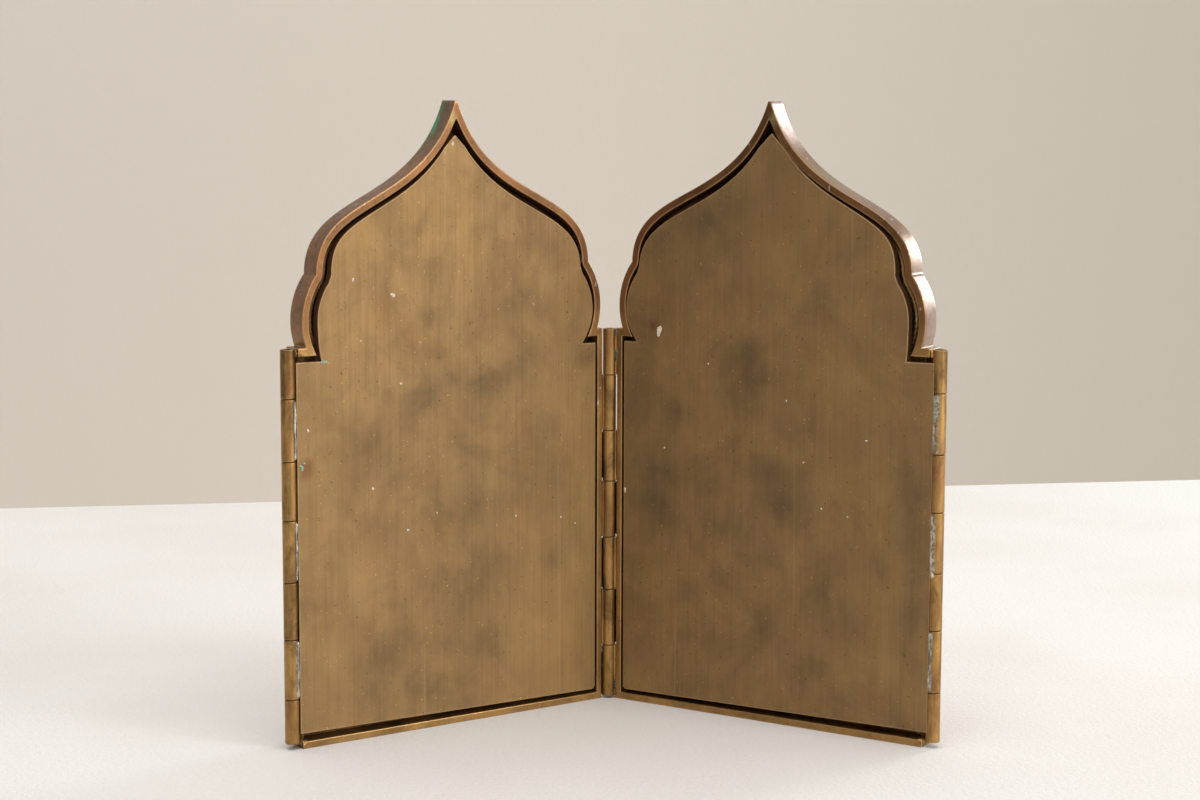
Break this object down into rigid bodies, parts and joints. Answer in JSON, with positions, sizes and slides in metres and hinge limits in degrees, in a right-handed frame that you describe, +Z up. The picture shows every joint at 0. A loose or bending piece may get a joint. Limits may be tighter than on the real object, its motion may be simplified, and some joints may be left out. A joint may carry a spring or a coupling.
{
  "type": "folding travel icon",
  "caption": "Hinged brass folding icon with two arched trays, each closed by a plain arched plate that swings open as a door; it stands half folded like a screen.",
  "frame": {"origin": "on the ground, at the bottom centre of the whole half-folded icon's box", "axes": "+Z up, +X to the viewer's right along the open icon, -Y towards the viewer"},
  "size_m": [0.1786, 0.063, 0.175],
  "materials": {
    "tray_brass": "cast brass with a brown patina, rubbed golden along the rim",
    "door_brass": "filed plate with fine upright scratches, mottled olive and brown, and pale flecks",
    "hinge_brass": "drawn brass tube, rubbed bright, with grey solder beside it",
    "pin_brass": "dull brass wire"
  },
  "bodies": {
    "left_leaf": {"left_tray": "tray_brass", "left_hinge_pin": "pin_brass", "left_tray_knuckle_1": "hinge_brass", "left_tray_knuckle_3": "hinge_brass", "left_tray_knuckle_5": "hinge_brass", "left_tray_knuckle_7": "hinge_brass", "middle_knuckle_2": "hinge_brass", "middle_knuckle_4": "hinge_brass", "middle_knuckle_6": "hinge_brass", "middle_hinge_pin": "pin_brass"},
    "right_leaf": {"right_tray": "tray_brass", "right_hinge_pin": "pin_brass", "right_tray_knuckle_1": "hinge_brass", "right_tray_knuckle_3": "hinge_brass", "right_tray_knuckle_5": "hinge_brass", "right_tray_knuckle_7": "hinge_brass", "middle_knuckle_1": "hinge_brass", "middle_knuckle_3": "hinge_brass", "middle_knuckle_5": "hinge_brass", "middle_knuckle_7": "hinge_brass"},
    "left_wing": {"left_door": "door_brass", "left_door_knuckle_2": "hinge_brass", "left_door_knuckle_4": "hinge_brass", "left_door_knuckle_6": "hinge_brass"},
    "right_wing": {"right_door": "door_brass", "right_door_knuckle_2": "hinge_brass", "right_door_knuckle_4": "hinge_brass", "right_door_knuckle_6": "hinge_brass"}
  },
  "joints": [
    {"name": "middle_fold", "type": "hinge", "parent": "left_leaf", "child": "right_leaf", "pos_m": [0, 0.02651, 0.055], "axis": [0, 0, 1], "range_deg": [-112.3, 67.7]},
    {"name": "left_door_hinge", "type": "hinge", "parent": "left_leaf", "child": "left_wing", "pos_m": [-0.08723, -0.02941, 0.055], "axis": [0, 0, -1], "range_deg": [0, 180]},
    {"name": "right_door_hinge", "type": "hinge", "parent": "right_leaf", "child": "right_wing", "pos_m": [0.08723, -0.02941, 0.055], "axis": [0, 0, 1], "range_deg": [0, 180]}
  ]
}
